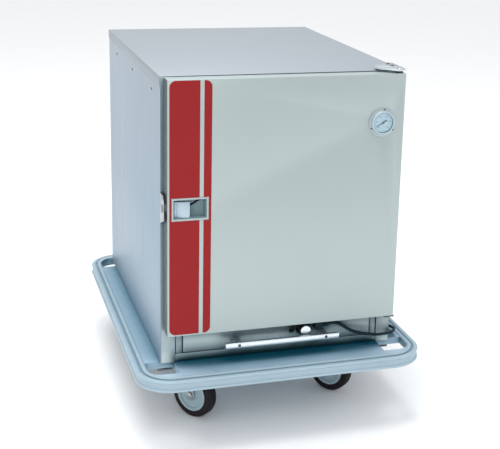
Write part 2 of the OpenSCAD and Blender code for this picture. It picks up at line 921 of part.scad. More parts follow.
// Backward-curved blower wheel
module fan_wheel() {
    z0 = module_z + 2 * sheet + 22;
    color("silver")
        translate([fan[0], fan[1], z0])
            difference() {
                union() {
                    cylinder(r = 58, h = 1.5);
                    cylinder(r = 12, h = 20);
                    for (i = [0:11])
                        rotate([0, 0, 30 * i])
                            translate([40, 0, 0])
                                rotate([0, 0, 35])
                                    slab([-14, 14], [-0.75, 0.75], [1, 20]);
                }
                translate([0, 0, -1]) cylinder(r = 4 + running, h = 30);
            }
}

// Pull bar across the module's front
module handle_bar() {
    color("whitesmoke")
        slab([-handle_len / 2, handle_len / 2], [bar_y - 5, bar_y + 4], [bar_z - 7, bar_z + 7]);
}

// Two posts between the panel and the bar
module handle_standoffs() {
    color("silver")
        both_sides()
            slab([standoff_x - 8, standoff_x + 8], [bar_y + 4, front_y], [bar_z - 5, bar_z + 5]);
}

// Screws through the bar into its posts
module handle_screws() {
    color("dimgray")
        both_sides()
            translate([standoff_x, bar_y - 5, bar_z]) rod_y(4.5, 0, 1.8);
}

// Thermostat behind the panel, with the shaft that carries the knob
module thermostat_body() {
    color("dimgray")
        translate([knob[0], 0, knob[1]]) {
            slab([-24, 24], [front_y + 10.5, front_y + 46], [-26, 18]);
            rod_y(4.5, front_y + 10.5, 11.5);
            rod_y(3, front_y - 1, 22);
        }
}

// Skirted knob with a raised cap and a blind bore
module thermostat_knob() {
    color("black")
        translate([knob[0], front_y - 2, knob[1]])
            rotate([90, 0, 0])
                difference() {
                    rotate_extrude()
                        polygon([
                            [0, 0], [knob_d / 2, 0], [knob_d / 2, 3], [knob_d / 2 - 4, 10],
                            [knob_d / 2 - 5, 25], [knob_d / 2 - 7, 27], [0, 27]
                        ]);
                    translate([0, 0, -1]) cylinder(r = 3 + running, h = 23);
                }
}

// Rocker of the power switch, with a pivot stub on either side
module power_switch() {
    color("black") {
        translate([switch[0] - 6, front_y - 0.5, switch[1]])
            rotate([90, 0, 90])
                linear_extrude(12)
                    polygon([[6, -6], [-3.5, -8.5], [-1.5, 0], [-1, 8.5], [6, 6]]);
        translate([switch[0], front_y + 2.5, switch[1]]) rod_x(2, 12.4);
    }
}

// Block gland with a tapered sleeve towards the right
module cord_gland() {
    color("black") {
        slab([gland[0] - 12, gland[0] + 8], [gland[1] - 10, front_y], [gland[2] - 11, gland[2] + 11]);
        translate([gland[0] + 8, gland[1], gland[2]])
            rotate([0, 90, 0]) cylinder(r1 = 8, r2 = 5.5, h = sleeve);
    }
}

// Free stretches of the lead: gland to hank, and hank to plug
module cord() {
    color("black") {
        tube(cord_route, cord_d / 2);
        tube(tail_route, cord_d / 2);
    }
}

// Tied hank of the spare lead, turn on turn, round two ends three diameters in radius
module cord_hank() {
    r = hank_r + cord_d / 2;
    color("black")
        translate([hank_x, hank_y0, deck_z])
            linear_extrude(hank_levels * cord_d)
                difference() {
                    union() {
                        circle(r = r);
                        translate([0, hank_run]) circle(r = r);
                        translate([-r, 0]) square([2 * r, hank_run]);
                    }
                    circle(r = r - cord_d);
                    translate([0, hank_run]) circle(r = r - cord_d);
                    translate([cord_d - r, 0]) square([2 * (r - cord_d), hank_run]);
                }
}

// Three-pin plug that lies past the hank
module plug() {
    color("black")
        translate(plug_at)
            rotate([-90, 0, 0]) {
                cylinder(r1 = 5.5, r2 = 9, h = 18);
                translate([0, 0, 18]) cylinder(r = 13, h = 24);
                for (x = [-6.4, 6.4])
                    translate([x - 0.8, -8, 42]) cube([1.6, 6.4, 18]);
                translate([0, 5, 42]) cylinder(r = 2.4, h = 20);
            }
}

// ---- Swivel forks and wheels ----

// Swivel fork in its own frame: pin on the Z axis, wheel trailing towards -Y
module swivel_fork() {
    difference() {
        translate([0, 0, crown_z - 6]) cylinder(r = 31, h = 6);
        translate([0, 0, crown_z - 7]) cylinder(r = kingpin_r + running, h = 8);
    }
    fork_cheek(18, trail);
    fork_cheek(-21, trail);
    fork_axle(trail);
}

// Turns a caster about its pin and sets it in place
module placed_swivel(side, angle) {
    translate([side * pin_x, front_pin_y, 0])
        rotate([0, 0, angle])
            children();
}

// Hub with a dished face, boss and running bore, its axle along X
module hub() {
    profile = [
        [0, -17], [11, -17], [13, -11], [hub_r - 9, -11], [hub_r - 6, -17.5], [hub_r, -17.5],
        [hub_r, 17.5], [hub_r - 6, 17.5], [hub_r - 9, 11], [13, 11], [11, 17], [0, 17]
    ];
    color("lightgray")
        rotate([0, 90, 0])
            difference() {
                rotate_extrude() polygon(profile);
                cylinder(r = axle_r + running, h = 50, center = true);
            }
}

// Tyre ring with rounded shoulders
module tyre() {
    half = tyre_w / 2;
    color("black")
        rotate([0, 90, 0])
            rotate_extrude($fn = 96)
                polygon(concat(
                    [[hub_r, half - 1], [hub_r, -half + 1]],
                    arc([wheel_r - 7, -half + 7], 7, -90, 0, 6),
                    arc([wheel_r - 7, half - 7], 7, 0, 90, 6)
                ));
}

// Places a wheel in its swivel fork
module front_wheel(side, angle) {
    placed_swivel(side, angle)
        translate([0, -trail, wheel_r])
            children();
}

// Places a wheel in its rigid fork
module rear_wheel(side) {
    translate([side * pin_x, rear_pin_y, wheel_r])
        children();
}

module fork_left() {
    color("silver") placed_swivel(-1, swivel_angle) swivel_fork();
}

module fork_right() {
    color("silver") placed_swivel(1, swivel_angle + 180) swivel_fork();
}

module hub_front_left() { front_wheel(-1, swivel_angle) hub(); }
module tyre_front_left() { front_wheel(-1, swivel_angle) tyre(); }
module hub_front_right() { front_wheel(1, swivel_angle + 180) hub(); }
module tyre_front_right() { front_wheel(1, swivel_angle + 180) tyre(); }
module hub_rear_left() { rear_wheel(-1) hub(); }
module tyre_rear_left() { rear_wheel(-1) tyre(); }
module hub_rear_right() { rear_wheel(1) hub(); }
module tyre_rear_right() { rear_wheel(1) tyre(); }

// ---- Nodes ----

side_panels();
back_panel();
top_panel();
inner_liner();
wall_insulation();
front_frame();
bottom_pan();
module_runners();
tray_slides();
side_rivets();
deck_pan();
base_frame();
bumper();
caster_plates();
rear_caster_forks();
caster_bolts();
strike_bracket();
hinge_brackets();
cabinet_screws();
door_skin();
door_liner();
door_insulation();
door_gasket();
door_decal();
door_bushings();
latch_housing();
latch_paddle();
latch_bolt();
thermometer_case();
thermometer_dial();
thermometer_pointer();
thermometer_lens();
thermometer_screws();
module_panel();
module_chassis();
water_pan();
heating_element();
fan_motor();
fan_wheel();
handle_bar();
handle_standoffs();
handle_screws();
thermostat_body();
thermostat_knob();
power_switch();
cord_gland();
cord();
cord_hank();
plug();
fork_left();
fork_right();
hub_front_left();
tyre_front_left();
hub_front_right();
tyre_front_right();
hub_rear_left();
tyre_rear_left();
hub_rear_right();
tyre_rear_right();
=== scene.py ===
"""Looks of the proofing cabinet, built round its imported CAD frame. Metres, +Z up, the door faces -Y."""

import json
import math

import bmesh
import bpy
from mathutils import Matrix, Vector


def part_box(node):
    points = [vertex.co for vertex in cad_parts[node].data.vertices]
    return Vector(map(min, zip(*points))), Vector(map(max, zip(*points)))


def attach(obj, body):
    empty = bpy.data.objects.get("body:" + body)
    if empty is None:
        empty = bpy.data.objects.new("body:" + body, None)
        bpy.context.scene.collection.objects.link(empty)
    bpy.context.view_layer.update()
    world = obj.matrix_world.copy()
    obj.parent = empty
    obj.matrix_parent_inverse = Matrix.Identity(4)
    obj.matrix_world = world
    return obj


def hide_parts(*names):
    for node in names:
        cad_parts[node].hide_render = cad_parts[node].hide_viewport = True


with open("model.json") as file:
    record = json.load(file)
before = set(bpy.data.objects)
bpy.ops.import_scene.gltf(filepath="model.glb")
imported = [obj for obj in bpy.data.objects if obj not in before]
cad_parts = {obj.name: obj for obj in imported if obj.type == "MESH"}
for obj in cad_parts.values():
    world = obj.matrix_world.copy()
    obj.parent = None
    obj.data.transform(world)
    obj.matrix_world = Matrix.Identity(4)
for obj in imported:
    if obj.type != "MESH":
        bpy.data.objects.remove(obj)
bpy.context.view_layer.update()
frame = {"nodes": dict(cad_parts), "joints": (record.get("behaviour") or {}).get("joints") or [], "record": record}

MM = 0.001
nodes = frame["nodes"]
body_of = {n: b for b, names in frame["record"]["behaviour"]["bodies"].items() for n in names}
slot_of = {s["node"]: s["material_slot"] for s in frame["record"]["subparts"]}
joint_of = {j["child"]: j for j in frame["joints"]}


# ---- Camera ----

def make_camera():
    """A camera at the photograph's viewing angle."""
    heading, tilt, roll = math.radians(18.2), math.radians(15.0), math.radians(1.74)
    place = Matrix.Translation((-0.805, -2.914, 1.403))
    data = bpy.data.cameras.new("camera")
    data.sensor_width = 36
    data.lens = 79.8
    data.shift_x = -0.09
    data.shift_y = -0.109
    camera = bpy.data.objects.new("camera", data)
    turn = Matrix.Rotation(-heading, 4, "Z") @ Matrix.Rotation(math.pi / 2 - tilt, 4, "X")
    turn = turn @ Matrix.Rotation(roll, 4, "Z")
    camera.matrix_world = place @ turn
    bpy.context.scene.collection.objects.link(camera)
    bpy.context.scene.camera = camera


make_camera()


# ---- Places read from the frame ----

def box_centre(node):
    low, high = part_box(node)
    return (low + high) / 2


def islands(node):
    """The box of each separate solid of a CAD node, as (lowest corner, highest corner)."""
    mesh = bmesh.new()
    mesh.from_mesh(nodes[node].data)
    bmesh.ops.remove_doubles(mesh, verts=mesh.verts, dist=1e-5)
    left = set(mesh.verts)
    boxes = []
    while left:
        front = [left.pop()]
        group = list(front)
        while front:
            vert = front.pop()
            for edge in vert.link_edges:
                other = edge.other_vert(vert)
                if other in left:
                    left.remove(other)
                    front.append(other)
                    group.append(other)
        low = Vector(min(v.co[i] for v in group) for i in range(3))
        high = Vector(max(v.co[i] for v in group) for i in range(3))
        boxes.append((low, high))
    mesh.free()
    return sorted(boxes, key=lambda b: tuple(round(x, 4) for x in b[0]))


deck_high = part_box("deck_pan")[1]
deck_top = deck_high.z
roof_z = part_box("top_panel")[1].z
side_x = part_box("top_panel")[1].x
front_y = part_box("front_frame")[0].y
back_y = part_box("side_panels")[1].y
door_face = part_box("door_skin")[0].y


# ---- Materials ----

def linear(colour):
    """Linear colour of an sRGB one given from 0 to 255."""
    parts = [c / 255 for c in colour]
    return [p / 12.92 if p <= 0.04045 else ((p + 0.055) / 1.055) ** 2.4 for p in parts]


def scaled(colour, factor):
    return [min(1, c * factor) for c in colour]


class Finish:
    """A node material on the Principled shader, with helpers for its patterns."""

    def __init__(self, name, metallic=0.0, roughness=0.5):
        self.material = bpy.data.materials.new(name)
        self.material.use_nodes = True
        self.tree = self.material.node_tree
        self.shader = self.tree.nodes["Principled BSDF"]
        self.shader.inputs["Metallic"].default_value = metallic
        self.shader.inputs["Roughness"].default_value = roughness
        self.place = self.add("ShaderNodeTexCoord").outputs["Object"]

    def add(self, kind, **settings):
        node = self.tree.nodes.new(kind)
        for key, value in settings.items():
            setattr(node, key, value)
        return node

    def link(self, source, target):
        self.tree.links.new(source, target)

    def noise(self, scale, detail=3.0, stretch=(1, 1, 1)):
        """Noise value; scale is in cycles per metre, times stretch along each axis."""
        mapping = self.add("ShaderNodeMapping")
        mapping.inputs["Scale"].default_value = stretch
        texture = self.add("ShaderNodeTexNoise")
        texture.inputs["Scale"].default_value = scale
        texture.inputs["Detail"].default_value = detail
        self.link(self.place, mapping.inputs["Vector"])
        self.link(mapping.outputs["Vector"], texture.inputs["Vector"])
        return texture.outputs["Fac"]

    def span(self, value, low, high, start=0.3, stop=0.7):
        """Value remapped from start..stop to low..high."""
        node = self.add("ShaderNodeMapRange")
        node.inputs["From Min"].default_value = start
        node.inputs["From Max"].default_value = stop
        node.inputs["To Min"].default_value = low
        node.inputs["To Max"].default_value = high
        self.link(value, node.inputs["Value"])
        return node.outputs["Result"]

    def mix(self, factor, first, second, blend="MIX"):
        """Colour mix. Each side is a colour or a node's output, the factor a number or an output."""
        node = self.add("ShaderNodeMix", data_type="RGBA", blend_type=blend)
        if isinstance(factor, bpy.types.NodeSocket):
            self.link(factor, node.inputs["Factor"])
        else:
            node.inputs["Factor"].default_value = factor
        for side, socket in ((first, node.inputs["A"]), (second, node.inputs["B"])):
            if isinstance(side, bpy.types.NodeSocket):
                self.link(side, socket)
            else:
                socket.default_value = (*side, 1)
        return node.outputs["Result"]

    def paint_shade(self, colour, reach, shut, clear, depth):
        """Colour darkened by painted shade: it drops to depth times itself where surfaces within reach close it
        in.
        """
        node = self.add("ShaderNodeAmbientOcclusion", samples=8)
        node.inputs["Distance"].default_value = reach
        shade = self.span(node.outputs["AO"], 0, 1, shut, clear)
        dimmed = self.mix(shade, depth, (1, 1, 1))
        return self.mix(1.0, colour, dimmed, "MULTIPLY")

    def shaded(self, colour, shades):
        """Colour with each of several painted shades laid over it."""
        for shade in shades:
            colour = self.paint_shade(colour, *shade)
        self.colour(colour)

    def colour(self, socket):
        self.link(socket, self.shader.inputs["Base Color"])

    def rough(self, socket):
        self.link(socket, self.shader.inputs["Roughness"])

    def bump(self, value, distance, strength=1.0):
        node = self.add("ShaderNodeBump")
        node.inputs["Distance"].default_value = distance
        node.inputs["Strength"].default_value = strength
        self.link(value, node.inputs["Height"])
        self.link(node.outputs["Normal"], self.shader.inputs["Normal"])


def brushed(name, colour, metallic, roughness, grain, blotch=0.03, shades=(), low=None):
    """Sheet steel: fine brush lines, faint broad streaks and cloudy patches.

    The lines run along the axis that grain stretches least; low is the sheet's darker tone lower down, painted
    shading that the colour fades to from the roof down to half height.
    """
    f = Finish(name, metallic, roughness)
    base = linear(colour)
    fine = f.noise(300, 3, grain)
    broad = f.noise(36, 2, grain)
    cloud = f.noise(3.2, 3)
    tone = f.mix(f.span(fine, 0, 1), scaled(base, 0.96), scaled(base, 1.03))
    tone = f.mix(f.span(broad, 0, 0.5), tone, scaled(base, 1 - blotch))
    tone = f.mix(f.span(cloud, 0, 0.6), tone, scaled(base, 1 - 2 * blotch))
    # Painted shading: the sheet darkens from the roof down to its low tone at half height and keeps it below.
    if low:
        split = f.add("ShaderNodeSeparateXYZ")
        f.link(f.place, split.inputs["Vector"])
        painted_fade = f.span(split.outputs["Z"], 1, 0, (deck_top + roof_z) / 2, roof_z)
        ratio = [foot / top for foot, top in zip(linear(low), base)]
        tone = f.mix(painted_fade, tone, ratio, "MULTIPLY")
    f.shaded(tone, shades)
    f.rough(f.span(f.noise(120, 4, grain), roughness - 0.05, roughness + 0.06))
    f.bump(fine, 0.00003)
    return f.material


def satin(name, colour, roughness, depth, scale, vary, coat=0.0, specular=0.5, shades=()):
    """Moulded or coated surface: fine pebble, slow shifts of tone and dusty patches."""
    f = Finish(name, 0.0, roughness)
    base = linear(colour)
    grain = f.noise(scale, 4)
    cloud = f.noise(5, 4)
    tone = f.mix(f.span(grain, 0, 1), base, scaled(base, 1 + vary))
    tone = f.mix(f.span(cloud, 0, 1), scaled(base, 1 - vary), tone)
    f.shaded(tone, shades)
    f.rough(f.span(f.noise(30, 4), roughness - 0.08, roughness + 0.1))
    f.bump(grain, depth)
    f.shader.inputs["Specular IOR Level"].default_value = specular
    f.shader.inputs["Coat Weight"].default_value = coat
    f.shader.inputs["Coat Roughness"].default_value = 0.15
    return f.material


def galvanised(name, colour):
    """Zinc plating with its faint crystal pattern."""
    f = Finish(name, 1.0, 0.32)
    base = linear(colour)
    cells = f.add("ShaderNodeTexVoronoi")
    cells.inputs["Scale"].default_value = 140
    f.link(f.place, cells.inputs["Vector"])
    tone = f.mix(cells.outputs["Distance"], scaled(base, 0.8), base)
    f.colour(f.mix(f.span(f.noise(30, 4), 0, 0.6), tone, scaled(base, 0.66)))
    f.rough(f.span(f.noise(60, 4), 0.24, 0.45))
    f.bump(f.noise(500, 2), 0.00005)
    return f.material


def fibre(name, colour):
    """Glass-fibre slab: short crossed strands."""
    f = Finish(name, 0.0, 0.95)
    base = linear(colour)
    strands = f.noise(60, 6, (8, 1, 1))
    crossing = f.noise(60, 6, (1, 1, 9))
    tone = f.mix(f.span(strands, 0, 1), scaled(base, 0.7), base)
    f.colour(f.mix(f.span(crossing, 0, 0.7), tone, scaled(base, 1.15)))
    f.bump(strands, 0.0015)
    return f.material


def clear_lens(name):
    """Clear window with a faint smear, thin enough to bend light very little."""
    f = Finish(name, 0.0, 0.03)
    f.shader.inputs["Transmission Weight"].default_value = 1.0
    f.shader.inputs["IOR"].default_value = 1.05
    f.shader.inputs["Base Color"].default_value = (0.94, 0.98, 1.0, 1)
    f.rough(f.span(f.noise(60, 3), 0.01, 0.06))
    return f.material


# Stretch of the noise along X, Y and Z, for brush lines that run along one axis or none.
ALONG_X, ALONG_Y, ALONG_Z, NO_GRAIN = (0.05, 1, 12), (12, 0.05, 12), (12, 1, 0.05), (1, 1, 1)
# Painted shades, darkening the colour where nearby surfaces close a spot in: reach in metres, openness at full
# shade, openness at no shade, and depth.
# Painted shade in seams, corners and where parts meet the sheet.
SEAM_SHADE = ((0.03, 0.3, 0.62, (0.66, 0.72, 0.74)),)
# Painted shade round screw heads and other small fittings.
FITTING_SHADE = ((0.025, 0.35, 0.8, (0.3, 0.36, 0.4)),)
# Painted shadow on the deck under the door's overhang: a dark teal band at the body's foot, then a broader, milder
# one.
UNDER_DOOR_SHADOW = ((0.15, 0.42, 0.64, (0.0, 0.22, 0.28)), (0.15, 0.42, 0.8, (0.54, 0.71, 0.75)))
# Painted shade on the frame's posts in the narrow strip beside the door.
BESIDE_DOOR_SHADE = ((0.05, 0.62, 0.95, (0.13, 0.2, 0.22)),)
# Painted shade darkening the front rail towards its foot on the deck.
RAIL_FOOT_SHADE = ((0.06, 0.5, 0.8, (0.03, 0.12, 0.15)),)
# Painted shade in the bumper's hollow face and groove.
HOLLOW_SHADE = ((0.014, 0.45, 0.92, (0.4, 0.5, 0.56)),)
# Colour, metallic, roughness, grain, blotches, painted shades and the painted shading tone lower down.
BRUSHED = {
    "side_sheet": ((174, 187, 197), 0.5, 0.44, ALONG_Z, 0.02, SEAM_SHADE, (147, 166, 181)),
    "roof_sheet": ((160, 168, 176), 0.5, 0.42, ALONG_Y, 0.015, SEAM_SHADE),
    "door_sheet": ((172, 184, 184), 0.5, 0.44, ALONG_Z, 0.02, SEAM_SHADE),
    "liner_sheet": ((186, 190, 192), 0.85, 0.38, ALONG_Z, 0.03, SEAM_SHADE),
    "frame_sheet": ((194, 207, 209), 0.5, 0.34, ALONG_Z, 0.02, BESIDE_DOOR_SHADE),
    "pan_sheet": ((146, 168, 172), 0.5, 0.34, ALONG_X, 0.03, RAIL_FOOT_SHADE),
    "screw_steel": ((96, 102, 104), 0.9, 0.35, NO_GRAIN, 0.1, FITTING_SHADE),
    "polished": ((220, 228, 234), 0.9, 0.25, ALONG_X, 0.02),
    "aluminium": ((176, 194, 206), 0.5, 0.4, NO_GRAIN, 0.03),
    "element": ((84, 78, 76), 0.7, 0.5, NO_GRAIN, 0.15),
}
# Colour, roughness, pebble depth in metres, pebbles per metre, shift of tone, coat, specular, painted shades.
SATIN = {
    "deck_sheet": ((172, 193, 210), 0.45, 0.00003, 300, 0.04, 0, 0.15, UNDER_DOOR_SHADOW),
    "bumper_vinyl": ((157, 179, 192), 0.42, 0.00006, 600, 0.05, 0.1, 0.5, HOLLOW_SHADE),
    # Dark coated steel of the base frame; on the door's upright edges the same dark tone is painted shade and dark
    # reflection.
    "frame_steel": ((76, 84, 86), 0.5, 0.00006, 500, 0.12),
    # Dull grey in the latch pocket in place of its steel: painted shade and dark reflection.
    "pocket_grey": ((122, 150, 156), 0.4, 0.00004, 500, 0.08),
    "decal_red": ((142, 27, 30), 0.5, 0.00002, 900, 0.04, 0, 0.2),
    "gasket_rubber": ((50, 56, 58), 0.6, 0.0001, 700, 0.15),
    "bushing_plastic": ((46, 47, 49), 0.45, 0.00006, 700, 0.12),
    "dial_face": ((190, 208, 216), 0.5, 0.00001, 900, 0.02),
    "needle": ((100, 124, 134), 0.4, 0.00001, 900, 0.05),
    "knob_black": ((18, 20, 22), 0.36, 0.00005, 900, 0.15, 0, 0.3),
    "switch_black": ((18, 19, 21), 0.3, 0.00003, 900, 0.12, 0, 0.3),
    "cord_rubber": ((6, 32, 42), 0.5, 0.00008, 900, 0.2, 0, 0.2),
    "hub_grey": ((160, 184, 192), 0.42, 0.00006, 700, 0.05, 0, 0.5, SEAM_SHADE),
    "tyre_black": ((28, 20, 27), 0.6, 0.0001, 700, 0.15, 0, 0.25),
}
materials = {name: brushed(name, *values) for name, values in BRUSHED.items()}
materials.update((name, satin(name, *values)) for name, values in SATIN.items())
materials["insulation"] = fibre("insulation", (222, 205, 128))
materials["zinc"] = galvanised("zinc", (176, 182, 185))
materials["lens"] = clear_lens("lens")


def dress(piece, slot):
    """Gives a piece its slot's material."""
    piece.data.materials.clear()
    piece.data.materials.append(materials[slot])
    return piece


# ---- Mesh work ----

def add_piece(name, data, body, slot, *replaced):
    """Links a new object, dresses it and makes it ride on its body."""
    piece = bpy.data.objects.new(name, data)
    bpy.context.scene.collection.objects.link(piece)
    dress(piece, slot)
    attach(piece, body)
    if replaced:
        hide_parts(*replaced)
    return piece


def smooth(mesh, angle=32):
    mesh.shade_smooth()
    mesh.set_sharp_from_angle(angle=math.radians(angle))


def finish_mesh(name, work, angle=32):
    """Mesh from a bmesh, which is freed, smoothed up to an angle."""
    bmesh.ops.recalc_face_normals(work, faces=work.faces)
    mesh = bpy.data.meshes.new(name)
    work.to_mesh(mesh)
    work.free()
    smooth(mesh, angle)
    return mesh


def rounded(node, width, segments=2):
    """A clean copy of a CAD node's mesh with rounded edges."""
    work = bmesh.new()
    work.from_mesh(nodes[node].data)
    bmesh.ops.remove_doubles(work, verts=work.verts, dist=1e-6)
    bmesh.ops.dissolve_limit(work, angle_limit=math.radians(0.5), verts=work.verts, edges=work.edges)
    bmesh.ops.triangulate(work, faces=[f for f in work.faces if len(f.verts) > 4])
    sharp = [e for e in work.edges
             if len(e.link_faces) == 2 and e.calc_face_angle(0) > math.radians(40)]
    bmesh.ops.bevel(work, geom=sharp, offset=width, segments=segments, profile=0.5,
                    affect="EDGES", clamp_overlap=True)
    return work


def refined(node, width, slot):
    """A piece with rounded edges that stands for a CAD node."""
    name = node + "_finished"
    return add_piece(name, finish_mesh(name, rounded(node, width)), body_of[node], slot, node)


def plate(name, outlines, thickness, edge, place, body, slot, *replaced):
    """Flat plate with holes, its top at the place's origin; outlines are the rim, then the holes."""
    curve = bpy.data.curves.new(name, "CURVE")
    curve.dimensions = "2D"
    curve.fill_mode = "BOTH"
    curve.extrude = thickness / 2 - edge
    curve.bevel_depth = edge
    curve.bevel_resolution = 2
    curve.offset = -edge
    for outline in outlines:
        spline = curve.splines.new("POLY")
        spline.points.add(len(outline) - 1)
        for knot, (x, y) in zip(spline.points, outline):
            knot.co = (x, y, 0, 1)
        spline.use_cyclic_u = True
    mesh = bpy.data.meshes.new_from_object(bpy.data.objects.new(name, curve))
    mesh.transform(place @ Matrix.Translation((0, 0, -thickness / 2)))
    mesh.materials.clear()
    smooth(mesh)
    return add_piece(name, mesh, body, slot, *replaced)


def turned(work, profile, place, steps=64, shape=None):
    """Adds (radius, height) points turned about the Z axis of place; shape may move each point."""
    rings = []
    for k in range(steps):
        turn = 2 * math.pi * k / steps
        ring_verts = []
        for radius, height in profile:
            point = Vector((radius * math.cos(turn), radius * math.sin(turn), height))
            ring_verts.append(work.verts.new(place @ (shape(point, turn) if shape else point)))
        rings.append(ring_verts)
    for k, here in enumerate(rings):
        there = rings[(k + 1) % steps]
        for i in range(len(profile) - 1):
            work.faces.new((here[i], there[i], there[i + 1], here[i + 1]))


def lathe(name, profile, place, body, slot, *replaced, steps=64, angle=32, shape=None):
    """A turned piece; its profile is in millimetres."""
    work = bmesh.new()
    turned(work, [(r * MM, h * MM) for r, h in profile], place, steps, shape)
    bmesh.ops.remove_doubles(work, verts=work.verts, dist=1e-6)
    return add_piece(name, finish_mesh(name, work, angle), body, slot, *replaced)


def round_path(half_x, half_y, radii, centre=(0, 0), steps=12):
    """Points of a rounded rectangle with their outward directions, anticlockwise from +X +Y."""
    path = []
    for corner, (sx, sy) in enumerate(((1, 1), (-1, 1), (-1, -1), (1, -1))):
        r = radii[corner]
        hub = Vector((centre[0] + sx * (half_x - r), centre[1] + sy * (half_y - r)))
        for i in range(steps + 1):
            a = math.pi / 2 * (corner + i / steps)
            out = Vector((math.cos(a), math.sin(a)))
            path.append((hub + r * out, out))
    return path


def ring(name, path, profile, place, body, slot, *replaced, angle=32, floor=False):
    """Sweeps profile points (outward, up; millimetres) round a path in the XY plane of place.

    The profile is closed on itself, or with floor it is open and its last turn is filled in.
    """
    work = bmesh.new()
    turns = []
    for point, out in path:
        spots = [point + u * MM * out for u, v in profile]
        turns.append([work.verts.new(place @ Vector((spot.x, spot.y, v * MM)))
                      for spot, (u, v) in zip(spots, profile)])
    count = len(profile)
    for k, here in enumerate(turns):
        there = turns[(k + 1) % len(turns)]
        for i in range(count - 1 if floor else count):
            j = (i + 1) % count
            work.faces.new((here[i], there[i], there[j], here[j]))
    if floor:
        work.faces.new([turn[-1] for turn in turns])
    return add_piece(name, finish_mesh(name, work, angle), body, slot, *replaced)


def arc(cx, cy, r, a0, a1, steps):
    """Points of an arc, angles in degrees."""
    angles = [math.radians(a0 + (a1 - a0) * i / steps) for i in range(steps + 1)]
    return [(cx + r * math.cos(a), cy + r * math.sin(a)) for a in angles]


def facing(origin, axis):
    """Place whose Z axis points along axis from origin."""
    return Matrix.Translation(origin) @ Vector(axis).to_track_quat("Z", "Y").to_matrix().to_4x4()


# ---- Supply cord ----

CORD_D = 8 * MM
LIE_Z = deck_top + CORD_D / 2
# The hank stands beside the body: fold radius, centre line, front end, straight run and turns.
HANK_R = 3 * CORD_D
HANK_X = side_x + 3 * MM + HANK_R + CORD_D / 2
HANK_Y = front_y + 155 * MM
HANK_RUN = 150 * MM
HANK_LEVELS = 5


def cord_points():
    """Free route, the hank's turns and the tail, as one list.

    The route's points are millimetres: across, from the body's front, and above the deck.
    """
    run_x = HANK_X - HANK_R
    tail_y = HANK_Y + HANK_RUN
    top_z = LIE_Z + (HANK_LEVELS - 1) * CORD_D
    route = [
        (136, -14, 72), (148, -14, 71.8), (160, -14, 68), (172, -15, 61), (185, -17, 52.5),
        (198, -20, 46), (212, -23, 41.5), (226, -26, 38), (241, -27, 35.5), (257, -27, 32.5),
        (273, -24, 30), (289, -19, 28), (304, -12.5, 26), (317.5, -4, 24.5), (328, 7, 23),
        (334.5, 20, 21), (337, 35, 18.5), (338, 51, 15), (337.5, 67, 11), (336, 82, 7.5),
        (333, 97, 5), (328.5, 111, 4), (323.5, 126, 4), (319.5, 141, 4),
    ]
    points = [Vector((x * MM, front_y + y * MM, deck_top + z * MM)) for x, y, z in route]
    lap = 2 * HANK_RUN + 2 * math.pi * HANK_R
    for level in range(HANK_LEVELS - 1):
        # Each point of a turn is (x, y, length of cord since the turn began).
        turn = [(run_x, HANK_Y + HANK_RUN * i / 3, HANK_RUN * i / 3) for i in range(3)]
        for i in range(7):
            a = math.pi - math.pi * i / 6
            turn.append((HANK_X + HANK_R * math.cos(a), tail_y + HANK_R * math.sin(a),
                         HANK_RUN + HANK_R * (math.pi - a)))
        for i in range(1, 3):
            turn.append((HANK_X + HANK_R, tail_y - HANK_RUN * i / 3,
                         HANK_RUN + HANK_R * math.pi + HANK_RUN * i / 3))
        for i in range(6):
            a = -math.pi * i / 6
            turn.append((HANK_X + HANK_R * math.cos(a), HANK_Y + HANK_R * math.sin(a),
                         2 * HANK_RUN + HANK_R * (math.pi - a)))
        for x, y, run in turn:
            points.append(Vector((x, y, LIE_Z + CORD_D * (level + run / lap))))
    points.append(Vector((run_x, HANK_Y, top_z)))
    points.append(Vector((run_x, HANK_Y + HANK_RUN / 2, top_z)))
    tail = [(0, 0, 0), (0, 14, 0), (1, 30, -3), (4, 46, -9), (8, 62, -17)]
    points += [Vector((run_x + x * MM, tail_y + y * MM, top_z + z * MM)) for x, y, z in tail]
    low = [(11, 78, 17), (13, 94, 13.5), (13, 106, 13)]
    points += [Vector((run_x + x * MM, tail_y + y * MM, deck_top + z * MM)) for x, y, z in low]
    return points


def make_cord(points):
    """Round cord on a smooth curve through the points."""
    curve = bpy.data.curves.new("supply_cord", "CURVE")
    curve.dimensions = "3D"
    curve.bevel_depth = CORD_D / 2
    curve.bevel_resolution = 5
    curve.use_fill_caps = True
    spline = curve.splines.new("BEZIER")
    spline.bezier_points.add(len(points) - 1)
    for knot, point in zip(spline.bezier_points, points):
        knot.co = point
        knot.handle_left_type = knot.handle_right_type = "AUTO"
    spline.resolution_u = 5
    return add_piece("supply_cord", curve, "heat_module", "cord_rubber", "cord", "cord_hank")


cord_line = cord_points()
supply_cord = make_cord(cord_line)


